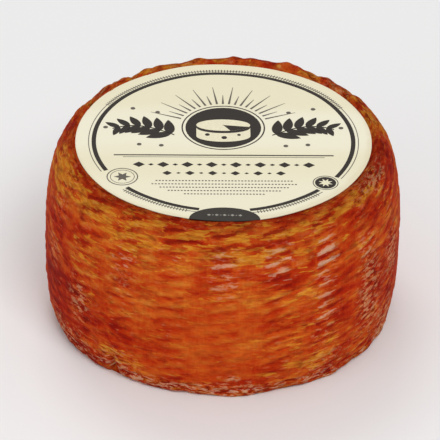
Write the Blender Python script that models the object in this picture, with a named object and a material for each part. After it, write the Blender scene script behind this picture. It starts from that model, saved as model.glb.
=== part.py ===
"""A small wheel of washed-rind cheese with barrel sides, and the round paper label on its top face.

The wheel is a turned barrel, pressed a little out of true by its mould and shelf. The mould was lined with a
basket weave, which leaves staggered columns of short level bars in the rind, and the cheesecloth's folds leave
knobs along the top rim. Metres, +Z up. The origin is under the wheel's middle, on the surface it stands on, and
the label reads upright for somebody standing at -Y.
"""

import math
import random

import bmesh
import bpy
from mathutils import Vector, noise

# The wheel's turned profile
WHEEL_RADIUS = 0.0900
BULGE_HEIGHT = 0.0467
SHOULDER_HEIGHT = 0.0975
SHOULDER_WIDTH = 0.0174
SHOULDER_POWER = 2.55
FOOT_WIDTH = 0.0072
FOOT_POWER = 2.33

# The shallow dish in the top face, where the label lies, and the soft rim round it
DISH_RADIUS = 0.0740
DISH_DEPTH = 0.0016
CREST_RADIUS = 0.0770

# How far the wheel is out of true. Each lobe is a share of the radius and the direction of its long side.
# The rises are how much higher the dish and the rim stand at +X than in the middle. Only the dish keeps round.
FOOT_OVAL = (0.0047, math.radians(104))
TOP_OVAL = (0.0096, math.radians(114))
TRILOBE = (0.0089, math.radians(-47))
LEAN = Vector((0.0025, 0.0014))
DISH_PLACE = Vector((0.0001, -0.0012))
DISH_RISE = -0.0005
RIM_RISE = 0.0005
RIM_FADE = 0.0040
DENT_DEPTH = 0.0003
DENT_SIZE = 0.040

# The basket weave's imprint in the side
COLUMNS = 42
BAR_PITCH = 0.0061
BAR_HEIGHT = 0.0005
BAR_FADE = 0.006
UNEVEN_BARS = 0.55
UNEVEN_STEP = Vector((1.7, 1.3, 0.0))

# The folds of the cheesecloth stand as knobs along the top rim, which is sunk between them. Each of the back
# half's is (direction in degrees, height, half length), and the front half's are drawn at random.
BACK_KNOBS = (
    (11, 0.0009, 0.0035),
    (30, 0.0010, 0.0045),
    (44, 0.0006, 0.0040),
    (66, 0.0018, 0.0048),
    (82, 0.0008, 0.0100),
    (101, 0.0009, 0.0038),
    (118, 0.0011, 0.0080),
    (138, 0.0015, 0.0065),
    (158, 0.0010, 0.0048),
    (171, 0.0010, 0.0040),
)
FRONT_KNOBS = 13
KNOB_HEIGHT = 0.0012
KNOB_LENGTH = 0.0055
KNOB_REACH = 0.0075
KNOB_SEED = 11
RIM_SINK = 0.0006

# The swells and the dips of the foot's edge, given the same way, and how far they reach up the flank
FOOT_SWELLS = (
    (196, -0.0006, 0.0060),
    (208, 0.0008, 0.0080),
    (227, -0.0015, 0.0040),
    (234, -0.0005, 0.0080),
    (275, 0.0007, 0.0100),
    (291, -0.0008, 0.0090),
    (336, 0.0004, 0.0100),
)
FOOT_REACH = 0.0080

# The paper label
LABEL_RADIUS = 0.0739
LABEL_THICKNESS = 0.00035
LABEL_GAP = 0.0003
LABEL_SIDES = 96

# Fineness: three faces across each column of the weave, and a ring at each bar's crest and trough
SIDES = 3 * COLUMNS
RING_STEP = BAR_PITCH / 2
PROFILE_FINENESS = 200
DISH_RINGS = (0.030, 0.056, DISH_RADIUS, 0.0755)
BASE_RINGS = (0.060, 0.030)
SAME_PLACE = 1e-6

RIND_COLOUR = (0.448, 0.067, 0.010, 1.0)
PAPER_COLOUR = (0.810, 0.760, 0.575, 1.0)


def smooth(t):
    """0 below 0, 1 above 1, and an S-curve between."""
    t = min(max(t, 0.0), 1.0)
    return t * t * (3.0 - 2.0 * t)


def lobed(lobe, turns, angle):
    """A lobe's share of the radius in this direction."""
    share, direction = lobe
    return share * math.cos(turns * (angle - direction))


def quarter(width, height, power, angle):
    """A point of a superelliptic quarter: from (0, height) at angle 0 to (width, 0) at a right angle."""
    across = width * math.sin(angle) ** (2.0 / power)
    up = height * max(math.cos(angle), 0.0) ** (2.0 / power)
    return across, up


def outer_profile():
    """Points (radius, height) from the top face's edge, over the shoulder and down the flank to the foot."""
    points = []
    for i in range(PROFILE_FINENESS + 1):
        angle = i / PROFILE_FINENESS * math.pi / 2
        across, up = quarter(SHOULDER_WIDTH, SHOULDER_HEIGHT - BULGE_HEIGHT, SHOULDER_POWER, angle)
        points.append(Vector((WHEEL_RADIUS - SHOULDER_WIDTH + across, BULGE_HEIGHT + up)))
    for i in range(PROFILE_FINENESS - 1, -1, -1):
        angle = i / PROFILE_FINENESS * math.pi / 2
        across, down = quarter(FOOT_WIDTH, BULGE_HEIGHT, FOOT_POWER, angle)
        points.append(Vector((WHEEL_RADIUS - FOOT_WIDTH + across, BULGE_HEIGHT - down)))
    return points


def dish(radius):
    """How far the top face lies under the turned profile at this radius."""
    return DISH_DEPTH * (1.0 - smooth((radius - DISH_RADIUS) / (CREST_RADIUS - DISH_RADIUS)))


def side_stations():
    """Evenly spaced (radius, height, run) from the rim's crest to the foot, where run is the way down the side."""
    points = [p for p in outer_profile() if p.x > CREST_RADIUS or p.y < BULGE_HEIGHT]
    runs = [0.0]
    for before, after in zip(points, points[1:]):
        runs.append(runs[-1] + (after - before).length)
    count = round(runs[-1] / RING_STEP)
    stations = []
    at = 0
    for i in range(count + 1):
        run = runs[-1] * i / count
        while at < len(runs) - 2 and runs[at + 1] < run:
            at += 1
        share = (run - runs[at]) / (runs[at + 1] - runs[at])
        point = points[at].lerp(points[at + 1], share)
        stations.append((point.x, point.y, run))
    return stations


def rim_knobs():
    """(direction, height, half length) of each knob that a fold leaves on the rim."""
    draw = random.Random(KNOB_SEED)
    knobs = [(math.radians(direction), height, length) for direction, height, length in BACK_KNOBS]
    for i in range(FRONT_KNOBS):
        direction = math.pi * (1.0 + (i + draw.uniform(0.2, 0.8)) / FRONT_KNOBS)
        knobs.append((direction, KNOB_HEIGHT * draw.uniform(0.2, 1.0), KNOB_LENGTH * draw.uniform(0.6, 1.3)))
    return knobs


def heaped(swells, angle):
    """The height of all these swells together in this direction."""
    height_here = 0.0
    for direction, height, length in swells:
        apart = math.remainder(angle - direction, math.tau) * WHEEL_RADIUS
        height_here += height * math.exp(-((apart / length) ** 2))
    return height_here


def weave_lift(angle, run, whole_run):
    """The basket weave's relief: level bars, half a bar higher in every other column."""
    column = (angle % math.tau) / math.tau * COLUMNS
    in_column = int(column + SAME_PLACE)
    bars = run / BAR_PITCH + 0.5 * (in_column % 2)
    arch = abs(math.sin(math.pi * column))
    spot = Vector((in_column * UNEVEN_STEP.x, round(bars) * UNEVEN_STEP.y, 0.5))
    strength = 1.0 + UNEVEN_BARS * noise.noise(spot)
    fade = smooth(run / BAR_FADE) * smooth((whole_run - run) / BAR_FADE)
    return BAR_HEIGHT * math.cos(math.tau * bars) * arch * strength * fade


def out_of_true(x, y, z):
    """A point of the turned barrel, moved to where the mould and the shelf have pressed it."""
    angle = math.atan2(y, x)
    up = z / SHOULDER_HEIGHT
    rim = smooth((math.hypot(x, y) - DISH_RADIUS) / RIM_FADE)
    lobes = lobed(FOOT_OVAL, 2, angle) + lobed(TRILOBE, 3, angle) + up * lobed(TOP_OVAL, 2, angle)
    share = 1.0 + lobes * rim
    shift = LEAN * (up - 0.5)
    rise = 0.0
    if up > 0.5:
        shift = DISH_PLACE.lerp(shift, rim)
        rise = (DISH_RISE * (1.0 - rim) + RIM_RISE * rim * smooth(2.0 * up - 1.0)) * x / DISH_RADIUS
    return Vector((x * share + shift.x, y * share + shift.y, z + rise))


def turned_wheel():
    """The turned barrel, with each vertex's way down the side kept in a layer named run."""
    body = bmesh.new()
    run_of = body.verts.layers.float.new("run")
    stations = side_stations()
    profile = [(0.0, SHOULDER_HEIGHT - DISH_DEPTH, -CREST_RADIUS)]
    profile += [(r, SHOULDER_HEIGHT - dish(r), r - CREST_RADIUS) for r in DISH_RINGS]
    profile += stations
    profile += [(r, 0.0, stations[-1][2]) for r in (*BASE_RINGS, 0.0)]
    line = []
    for radius, height, run in profile:
        vertex = body.verts.new((radius, 0.0, height))
        vertex[run_of] = run
        line.append(vertex)
    edges = [body.edges.new(pair) for pair in zip(line, line[1:])]
    bmesh.ops.spin(
        body,
        geom=line + edges,
        cent=(0.0, 0.0, 0.0),
        axis=(0.0, 0.0, 1.0),
        angle=math.tau,
        steps=SIDES,
        use_merge=True,
    )
    bmesh.ops.remove_doubles(body, verts=body.verts, dist=SAME_PLACE)
    bmesh.ops.recalc_face_normals(body, faces=body.faces)
    return body, run_of, stations[-1][2]


def press_rind(body, run_of, whole_run):
    """Presses the weave, the knobs and the dents into the turned wheel, and then presses it out of true."""
    knobs = rim_knobs()
    foot_swells = [(math.radians(direction), height, length) for direction, height, length in FOOT_SWELLS]
    body.normal_update()
    normals = {vertex: vertex.normal.copy() for vertex in body.verts}
    for vertex, normal in normals.items():
        run = vertex[run_of]
        x, y, z = vertex.co
        if z > 0.0 and math.hypot(x, y) > DISH_RADIUS + SAME_PLACE:
            angle = math.atan2(y, x)
            lift = (heaped(knobs, angle) - RIM_SINK) * math.exp(-((run / KNOB_REACH) ** 2))
            lift += heaped(foot_swells, angle) * math.exp(-(((whole_run - run) / FOOT_REACH) ** 2))
            lift += DENT_DEPTH * noise.noise(vertex.co / DENT_SIZE)
            if run > 0.0:
                lift += weave_lift(angle, run, whole_run)
            vertex.co += normal * lift
        vertex.co = out_of_true(*vertex.co)


def stand_on_origin(body):
    """Moves the wheel so that the middle of its box is over the origin, and returns the move."""
    xs = [vertex.co.x for vertex in body.verts]
    ys = [vertex.co.y for vertex in body.verts]
    move = Vector((-(min(xs) + max(xs)) / 2, -(min(ys) + max(ys)) / 2, 0.0))
    bmesh.ops.translate(body, verts=body.verts, vec=move)
    return move


def material(name, colour, roughness):
    made = bpy.data.materials.new(name)
    made.use_nodes = True
    made.diffuse_color = colour
    shader = made.node_tree.nodes["Principled BSDF"]
    shader.inputs["Base Color"].default_value = colour
    shader.inputs["Roughness"].default_value = roughness
    shader.inputs["Metallic"].default_value = 0.0
    return made


def named_object(name, body, finish, smooth_angle):
    """The body as an object with this name and finish, shaded smooth up to the angle."""
    mesh = bpy.data.meshes.new(name)
    body.to_mesh(mesh)
    body.free()
    mesh.materials.append(finish)
    mesh.shade_smooth()
    mesh.set_sharp_from_angle(angle=smooth_angle)
    made = bpy.data.objects.new(name, mesh)
    bpy.context.scene.collection.objects.link(made)
    return made


def make_wheel():
    body, run_of, whole_run = turned_wheel()
    press_rind(body, run_of, whole_run)
    move = stand_on_origin(body)
    named_object("cheese_wheel", body, material("washed_rind", RIND_COLOUR, 0.5), math.radians(60))
    return move


def make_label(move):
    """The paper disc, lying in the dish of the top face."""
    body = bmesh.new()
    bmesh.ops.create_cone(
        body,
        cap_ends=True,
        segments=LABEL_SIDES,
        radius1=LABEL_RADIUS,
        radius2=LABEL_RADIUS,
        depth=LABEL_THICKNESS,
    )
    label = named_object("paper_label", body, material("label_paper", PAPER_COLOUR, 0.6), math.radians(30))
    height = SHOULDER_HEIGHT - DISH_DEPTH + LABEL_GAP + LABEL_THICKNESS / 2
    label.location = move + Vector((DISH_PLACE.x, DISH_PLACE.y, height))
    label.rotation_euler.y = -math.asin(DISH_RISE / DISH_RADIUS)


def main():
    for old in list(bpy.data.objects):
        bpy.data.objects.remove(old)
    move = make_wheel()
    make_label(move)


main()
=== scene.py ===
"""A small wheel of washed-rind cheese with its round paper label, modelled and finished as in the photograph.

Everything is in metres, +Z up. Directions round the wheel are in degrees from +X towards +Y, so 270 faces the
camera. The way down the side, called run, starts at the rim's crest and is counted along the surface.
"""

import math
import random

import bpy
import numpy as np
from mathutils import Matrix, Vector, noise


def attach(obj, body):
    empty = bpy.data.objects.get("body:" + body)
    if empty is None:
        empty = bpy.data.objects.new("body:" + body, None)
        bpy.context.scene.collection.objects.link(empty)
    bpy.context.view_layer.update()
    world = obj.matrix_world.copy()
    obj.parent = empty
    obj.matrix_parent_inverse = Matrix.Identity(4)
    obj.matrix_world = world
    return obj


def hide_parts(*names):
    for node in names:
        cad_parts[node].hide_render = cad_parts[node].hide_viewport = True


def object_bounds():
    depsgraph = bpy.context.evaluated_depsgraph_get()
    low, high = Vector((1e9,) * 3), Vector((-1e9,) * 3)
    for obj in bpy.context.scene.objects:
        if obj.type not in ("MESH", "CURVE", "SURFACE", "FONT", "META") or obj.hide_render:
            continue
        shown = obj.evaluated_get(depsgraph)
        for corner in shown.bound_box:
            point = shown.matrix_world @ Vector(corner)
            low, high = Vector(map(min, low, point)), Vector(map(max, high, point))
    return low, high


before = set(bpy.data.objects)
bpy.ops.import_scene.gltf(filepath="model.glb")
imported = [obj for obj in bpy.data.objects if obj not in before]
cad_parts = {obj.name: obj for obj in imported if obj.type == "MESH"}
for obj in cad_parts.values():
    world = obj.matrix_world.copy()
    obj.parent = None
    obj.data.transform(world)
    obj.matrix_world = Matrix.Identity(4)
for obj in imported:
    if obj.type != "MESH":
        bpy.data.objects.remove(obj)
cad_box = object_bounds()

MM = 0.001

# The wheel's turned profile, as in the part's source
WHEEL_RADIUS = 0.0900
BULGE_HEIGHT = 0.0467
SHOULDER_HEIGHT = 0.0975
SHOULDER_WIDTH = 0.0174
SHOULDER_POWER = 2.55
FOOT_WIDTH = 0.0072
FOOT_POWER = 2.33
DISH_RADIUS = 0.0740
DISH_DEPTH = 0.0016
CREST_RADIUS = 0.0770

# How far the wheel is out of true, as in the part's source, but that the rim rises less towards +X
FOOT_OVAL = (0.0047, math.radians(104))
TOP_OVAL = (0.0096, math.radians(114))
TRILOBE = (0.0089, math.radians(-47))
LEAN = (0.0025, 0.0014)
DISH_PLACE = (0.0001, -0.0012)
DISH_RISE = -0.0005
RIM_RISE = 0.0003
RIM_FADE = 0.0040
DENT_DEPTH = 0.0003
DENT_SIZE = 0.040

# The whole wheel is moved so that the middle of its box is at the origin
MOVE = (0.0007074, -0.0004491)

# The outermost knobs and bars are worn off where they would stand out of the part's box
WORN_DEPTH = 0.0004

# The weave's imprint: columns of level bars, strong and weak in turn, half a bar higher in the weak ones
COLUMN_PAIRS = 21
STRONG_COLUMN = math.radians(304)
STRONG_HALF = 0.31
COLUMN_EDGE = 0.09
COLUMN_ROUNDNESS = 0.7
BAR_PITCH = 0.0061
BAR_HEIGHT = 0.00044
BARS_DOWN = 60
WEAK_BARS = 0.35
BAR_SLANT = 0.0026
BAR_FADE = 0.006
BAR_WANDER = 0.22
WANDER_SIZE = 0.026
CALM_SIZE = (0.040, 0.040, 0.030)

# The finer relief: how big its features are, round and down the side, and how far they stand out
LINE_SIZE = (0.0075, 0.0075, 0.0012)
FINE_LINE_SIZE = (0.0040, 0.0040, 0.0007)
FINE_LINES = 0.55
LINE_HEIGHT = 0.00016
LUMP_SIZE = 0.0042
LUMP_HEIGHT = 0.00016
PIT_SIZE = (0.0030, 0.0030, 0.0016)
PIT_START = 0.34
PIT_EDGE = 0.25
PIT_DEPTH = 0.00008
CRUMB_SIZE = (0.0027, 0.0027, 0.0018)
CRUMB_HEIGHT = 0.00022
RIM_ROUGH_SIZE = (0.0060, 0.0060, 0.0022)
RIM_ROUGH_HEIGHT = 0.00035
RIM_ROUGH_WAY = 0.0030
RIM_ROUGH_REACH = 0.0060

# The fine relief starts this far inside the rim's crest, and comes in over this much
FINE_START = 0.003
FINE_FADE = 0.004

# What the finish reads: how far the shade painted along the label's edge reaches, as (share, reach), where
# the ledges under the rim are, and how high the foot reaches
LABEL_SHADES = ((0.45, 0.0140), (0.55, 0.0050))
LEDGE_WAY = 0.010
LEDGE_REACH = 0.009
FOOT_TOP = 0.0120
FOOT_FADE = 0.0060
BASE_FADE = 0.004

# The crease above the foot's lip, which wanders and fades, and the lip's roughness under it
CREASE_WAY = 0.0078
CREASE_WANDER = 0.0016
CREASE_SIZE = 0.014
CREASE_HALF = 0.0010
CREASE_DEPTH = 0.0007
LIP_SIZE = (0.0042, 0.0042, 0.0020)
LIP_EDGE = 0.0015
LIP_HEIGHT = 0.00045

# The cloth's knobs round the back of the rim and the gaps between them, as (degrees, height, half length).
# The front's are drawn at random.
BACK_KNOBS = (
    (11, 0.0009, 0.0035),
    (14, -0.0006, 0.0050),
    (30, 0.0010, 0.0045),
    (36, -0.0013, 0.0030),
    (44, -0.0005, 0.0020),
    (48, 0.0010, 0.0030),
    (54, -0.0012, 0.0030),
    (62, 0.0008, 0.0022),
    (66, 0.0018, 0.0048),
    (82, 0.0008, 0.0100),
    (83, -0.0007, 0.0020),
    (87, 0.0009, 0.0026),
    (100, 0.0012, 0.0045),
    (107, -0.0003, 0.0022),
    (115, 0.0009, 0.0042),
    (121, 0.0014, 0.0040),
    (127, -0.0016, 0.0023),
    (131, 0.0010, 0.0030),
    (135, 0.0008, 0.0026),
    (140, 0.0018, 0.0048),
    (152, -0.0034, 0.0024),
    (156, 0.0015, 0.0048),
    (162, 0.0010, 0.0028),
    (171, 0.0008, 0.0040),
)
FRONT_KNOBS = 13
KNOB_HEIGHT = 0.0007
KNOB_LENGTH = 0.0055
KNOB_REACH = 0.0075
KNOB_SEED = 11

# Between the knobs the rim lies this much under the turned profile
RIM_SINK = 0.0006

# The foot's swells and hollows over the front, and its notch at the lower left, which reaches higher up
FOOT_SWELLS = (
    (196, -0.0006, 0.0060),
    (210, 0.0003, 0.0050),
    (223, 0.0006, 0.0040),
    (231, -0.0030, 0.0022),
    (236, -0.0005, 0.0080),
    (245, 0.0002, 0.0040),
    (258, -0.0006, 0.0036),
    (276, 0.0013, 0.0100),
    (291, -0.0008, 0.0080),
    (309, 0.0010, 0.0040),
    (320, -0.0004, 0.0030),
    (328, 0.0010, 0.0045),
    (339, 0.0011, 0.0070),
)
FOOT_REACH = 0.0080
FOOT_NOTCH = (230.5, -0.0032, 0.0022)
NOTCH_REACH = 0.0150

# Fineness of the turned rind, which is turned coarsely and then halved twice
SIDES = 156
RING_STEP = 0.00336
HALVINGS = 2
PROFILE_FINENESS = 600
DISH_RINGS = (0.0600, 0.0715, 0.0740, 0.0754)
BASE_RINGS = (0.0770, 0.0500)

# Points this close together are one point, and one this close to an edge is on it
SAME_PLACE = 0.000005
SAME_INK_POINT = 0.000001
ON_EDGE = 0.000001

# The label's paper, which cockles towards its edge, as (waves round, start, share), and ripples all over
LABEL_RADIUS = 0.0739
LABEL_THICKNESS = 0.00030
LABEL_LIFT = 0.00065
LABEL_TOP = SHOULDER_HEIGHT - DISH_DEPTH + LABEL_LIFT
LABEL_SPOKES = 180
LABEL_RINGS = 36
LABEL_CORNER = math.radians(40)
PAPER_WAVE = 0.00030
COCKLES = ((3, 0.8, 0.50), (7, 2.1, 0.35), (11, 0.3, 0.25))
COCKLE_START = 0.045
COCKLE_GROWTH = 0.030
RIPPLE = 0.12
RIPPLE_WAVES = (160.0, 130.0)
RIPPLE_START = 0.6
PAPER_STRETCH = 0.0055
STRETCH_WAY = math.radians(-45)

# The printed films on the label
INK_CLEARANCE = 0.00003
INK_THICKNESS = 0.00004
LAYER_STEP = INK_THICKNESS + 0.00001

# How finely its shapes are divided, so that they bend with the paper: arcs in degrees, rules in metres
BAND_STEP = 2.5
RULE_STEP = 0.003
DISC_SPOKES = 40
DISC_RINGS = (0.66, 0.5)
LEAF_FULLNESS = 0.8


def smooth(t):
    """0 below 0, 1 above 1, and an S-curve between, for one number or an array."""
    t = np.clip(t, 0.0, 1.0)
    return t * t * (3.0 - 2.0 * t)


def kept_under(values, limit):
    """The same values, but those within the worn depth of the limit are eased so that none passes it."""
    over = np.maximum(values - (limit - WORN_DEPTH), 0.0)
    return values - over + WORN_DEPTH * (1.0 - np.exp(-over / WORN_DEPTH))


def lobed(lobe, turns, angle):
    share, direction = lobe
    return share * np.cos(turns * (angle - direction))


def heaped(swells, angle):
    """The height of all these (degrees, height, half length) swells together in each direction."""
    total = np.zeros_like(angle)
    for direction, height, length in swells:
        apart = (angle - math.radians(direction) + math.pi) % math.tau - math.pi
        total += height * np.exp(-((apart * WHEEL_RADIUS / length) ** 2))
    return total


def noise_at(points, size, seed=0.0):
    """Smooth noise from -1 to 1 at each of the points, with features of this size, or these three."""
    scaled = points / np.asarray(size) + seed
    return np.array([noise.noise(Vector(p)) for p in scaled])


def deselect():
    if bpy.context.object and bpy.context.object.mode != "OBJECT":
        bpy.ops.object.mode_set(mode="OBJECT")
    bpy.ops.object.select_all(action="DESELECT")


def pick(piece):
    """Makes this the only selected object, and the active one."""
    deselect()
    piece.select_set(True)
    bpy.context.view_layer.objects.active = piece


def edit(piece):
    pick(piece)
    bpy.ops.object.mode_set(mode="EDIT")
    bpy.ops.mesh.select_all(action="SELECT")


def object_mode():
    bpy.ops.object.mode_set(mode="OBJECT")


def coordinates(piece):
    flat = np.empty(3 * len(piece.data.vertices))
    piece.data.vertices.foreach_get("co", flat)
    return flat.reshape(-1, 3)


def set_coordinates(piece, points):
    piece.data.vertices.foreach_set("co", np.ascontiguousarray(points, dtype=np.float64).ravel())
    piece.data.update()


def keep_values(piece, name, values):
    """Stores one number or one vector for each vertex, for the material to read."""
    values = np.asarray(values, dtype=np.float32)
    kind = "FLOAT_VECTOR" if values.ndim == 2 else "FLOAT"
    layer = piece.data.attributes.get(name) or piece.data.attributes.new(name, kind, "POINT")
    layer.data.foreach_set("vector" if values.ndim == 2 else "value", values.ravel())


def values_of(piece, name):
    values = np.empty(len(piece.data.vertices), dtype=np.float32)
    piece.data.attributes[name].data.foreach_get("value", values)
    return values.astype(float)


def apply_modifier(piece, kind, **settings):
    pick(piece)
    modifier = piece.modifiers.new(kind.title(), kind)
    for key, value in settings.items():
        setattr(modifier, key, value)
    bpy.ops.object.modifier_apply(modifier=modifier.name)


def hand_over(piece, slot, *nodes):
    """Puts the finished piece on the part."""
    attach(piece, "root")
    if nodes:
        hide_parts(*nodes)


# The wheel


def quarter(width, height, power, angle):
    """A point of a superelliptic quarter: from (0, height) at angle 0 to (width, 0) at a right angle."""
    return width * math.sin(angle) ** (2.0 / power), height * max(math.cos(angle), 0.0) ** (2.0 / power)


def side_profile():
    """The side's profile as many (radius, height, run), from the rim's crest to the foot."""
    points = []
    for i in range(PROFILE_FINENESS + 1):
        across, up = quarter(
            SHOULDER_WIDTH,
            SHOULDER_HEIGHT - BULGE_HEIGHT,
            SHOULDER_POWER,
            i / PROFILE_FINENESS * math.pi / 2,
        )
        points.append((WHEEL_RADIUS - SHOULDER_WIDTH + across, BULGE_HEIGHT + up))
    for i in range(PROFILE_FINENESS - 1, -1, -1):
        across, down = quarter(FOOT_WIDTH, BULGE_HEIGHT, FOOT_POWER, i / PROFILE_FINENESS * math.pi / 2)
        points.append((WHEEL_RADIUS - FOOT_WIDTH + across, BULGE_HEIGHT - down))
    points = np.array([p for p in points if p[0] > CREST_RADIUS or p[1] < BULGE_HEIGHT])
    runs = np.concatenate([[0.0], np.cumsum(np.hypot(*np.diff(points, axis=0).T))])
    return np.column_stack([points, runs])


def dish(radius):
    """How far the top face lies under the turned profile at this radius."""
    return DISH_DEPTH * (1.0 - smooth((radius - DISH_RADIUS) / (CREST_RADIUS - DISH_RADIUS)))


def turned_wheel():
    """Turns the profile, from the top's middle to the base's. Gives the wheel and the run to its foot."""
    side = side_profile()
    whole = side[-1, 2]
    foot = side[-1, 0]
    stations = np.linspace(0.0, whole, round(whole / RING_STEP) + 1)
    profile = [(0.0, SHOULDER_HEIGHT - DISH_DEPTH, -CREST_RADIUS)]
    profile += [(r, SHOULDER_HEIGHT - float(dish(r)), r - CREST_RADIUS) for r in DISH_RINGS]
    for s in stations:
        profile.append((np.interp(s, side[:, 2], side[:, 0]), np.interp(s, side[:, 2], side[:, 1]), s))
    profile += [(r, 0.0, whole + foot - r) for r in (*BASE_RINGS, 0.0)]
    deselect()
    bpy.ops.mesh.primitive_plane_add(size=MM, location=(0.0, 0.0, profile[0][1]))
    wheel = bpy.context.object
    wheel.name = "rind"
    bpy.ops.object.transform_apply(location=True, rotation=True, scale=True)
    bpy.ops.object.mode_set(mode="EDIT")
    bpy.ops.mesh.select_all(action="SELECT")
    bpy.ops.mesh.merge(type="CENTER")
    for before, after in zip(profile, profile[1:]):
        step = (after[0] - before[0], 0.0, after[1] - before[1])
        bpy.ops.mesh.extrude_vertices_move(TRANSFORM_OT_translate={"value": step})
    object_mode()
    line = coordinates(wheel)
    exact = np.array([(p[0], 0.0, p[1]) for p in profile])
    order = np.array([np.argmin(np.abs(exact - p).sum(axis=1)) for p in line])
    keep_values(wheel, "run", np.array([p[2] for p in profile])[order])
    edit(wheel)
    bpy.ops.mesh.spin(steps=SIDES, angle=math.tau, center=(0.0, 0.0, 0.0), axis=(0.0, 0.0, 1.0))
    bpy.ops.mesh.select_all(action="SELECT")
    bpy.ops.mesh.remove_doubles(threshold=SAME_PLACE)
    bpy.ops.mesh.normals_make_consistent(inside=False)
    object_mode()
    apply_modifier(wheel, "SUBSURF", subdivision_type="SIMPLE", levels=HALVINGS)

    # The halving leaves points on straight edges, so each goes back onto the profile
    points = coordinates(wheel)
    run = values_of(wheel, "run")
    angle = np.arctan2(points[:, 1], points[:, 0])
    on_side = (run >= 0.0) & (run <= whole)
    over = run < 0.0
    beyond = np.where(over, CREST_RADIUS + run, foot)
    radius = np.where(on_side, np.interp(run, side[:, 2], side[:, 0]), beyond)
    radius = np.where(run > whole, np.maximum(foot - (run - whole), 0.0), np.maximum(radius, 0.0))
    height = np.where(on_side, np.interp(run, side[:, 2], side[:, 1]), 0.0)
    height = np.where(over, SHOULDER_HEIGHT - dish(radius), height)
    centre = np.hypot(points[:, 0], points[:, 1]) < ON_EDGE
    cosine = np.where(centre, 1.0, np.cos(angle))
    sine = np.where(centre, 0.0, np.sin(angle))
    set_coordinates(wheel, np.column_stack([radius * cosine, radius * sine, height]))
    return wheel, whole


def rim_knobs():
    draw = random.Random(KNOB_SEED)
    knobs = list(BACK_KNOBS)
    for i in range(FRONT_KNOBS):
        direction = 180.0 * (1.0 + (i + draw.uniform(0.2, 0.8)) / FRONT_KNOBS)
        knobs.append((direction, KNOB_HEIGHT * draw.uniform(0.2, 1.0), KNOB_LENGTH * draw.uniform(0.6, 1.3)))
    return knobs


def patches(marks, angle, run):
    """Soft patches of (degrees, run in mm, half width in degrees, half height in mm, strength), added up."""
    total = np.zeros_like(angle)
    for direction, way, wide, high, strength in marks:
        apart = np.degrees((angle - math.radians(direction) + math.pi) % math.tau - math.pi) / wide
        along = (run / MM - way) / high
        total += strength * np.exp(-((apart**2 + along**2) ** 1.5))
    return total


# Where the pale bloom, the crimson and the amber lie on the rind that the photograph shows, where it is
# crumbly and where it is calm, as (degrees, run in mm, half width in degrees, half height in mm, strength)
BLOOM_MARKS = (
    (273, 88, 2, 2, 1.20),
    (270, 97, 9, 3, 0.60),
    (303, 28, 5, 15, 1.25),
    (303, 54, 5, 9, 0.70),
    (288, 22, 6, 10, 1.25),
    (270, 26, 7, 12, 1.00),
    (321, 30, 5, 8, 0.55),
    (322, 62, 5, 18, 0.35),
    (236, 28, 5, 9, 0.80),
    (217, 64, 5, 14, 0.35),
    (198, 50, 5, 8, 0.30),
    (338, 52, 7, 12, 0.30),
    (252, 60, 4, 8, 0.35),
    (304, 92, 8, 7, 0.30),
    (214, 92, 9, 6, 0.30),
    (234, 86, 6, 8, 0.40),
    (334, 2, 12, 4, 0.80),
    (340, 16, 8, 10, 0.35),
    (252, 20, 5, 4, 0.30),
    (335, 84, 10, 14, 0.20),
    (344, 92, 10, 12, 0.50),
    (199, 92, 8, 10, 0.50),
    (2, 5, 3, 5, 0.60),
    (66, 3, 3, 5, 0.60),
    (106, 1, 8, 4, 0.70),
    (140, 1, 9, 4, 0.70),
    (40, 1, 10, 4, 0.80),
)
CRIMSON_MARKS = (
    # The marks a few millimetres under the label's edge are partly painted shade from the label
    (252, 2, 9, 3, 0.40),
    (214, 5, 5, 2, 0.30),
    (268, 5, 9, 2, 0.25),
    (236, 5, 5, 2, 0.30),
    (293, 1, 10, 3, 0.20),
    (308, 30, 4, 8, 0.40),
    (248, 31, 5, 4, 0.40),
    (320, 46, 5, 8, 0.40),
    (200, 24, 6, 5, 0.30),
    (203, 1, 8, 3, 0.60),
    (258, 11.5, 7, 0.9, 1.30),
    (275, 12.2, 8, 0.9, 1.30),
    (209, 82, 11, 6, 0.90),
    (225, 95, 7, 5, 0.60),
    (338, 44, 8, 8, 0.50),
    (168, 6, 8, 10, 0.60),
    (136, 4, 8, 8, 0.45),
    (100, 4, 7, 8, 0.20),
    (78, 4, 6, 8, 0.45),
    (44, 4, 5, 8, 0.45),
    (354, 8, 7, 12, 0.50),
    (203, 34, 8, 9, 1.10),
    (207, 66, 8, 11, 1.30),
    (196, 72, 8, 16, 1.15),
    (229, 72, 12, 8, 1.15),
    (246, 76, 8, 7, 0.25),
    (214, 26, 8, 5, 0.60),
    (213, 60, 6, 6, 0.70),
    (289, 33, 9, 5, 0.65),
    (320, 12, 12, 4, 0.75),
    (330, 18, 8, 5, 0.50),
    (311, 52, 6, 14, 0.95),
    (326, 50, 6, 9, 0.60),
    (332, 66, 11, 9, 0.75),
    (344, 12, 9, 14, 0.95),
    (344, 70, 8, 20, 0.60),
    (262, 88, 10, 8, 0.45),
    (281, 86, 7, 8, 0.40),
    (212, 96, 14, 9, 0.60),
    (205, 58, 10, 6, 0.35),
    (308, 58, 6, 5, 0.40),
    (340, 58, 10, 6, 0.40),
    (212, 80, 12, 6, 0.20),
    (287, 60, 6, 9, 0.45),
    (190, 40, 7, 26, 0.70),
    (313, 84, 8, 8, 0.35),
    (256, 62, 10, 5, 0.30),
)
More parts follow.
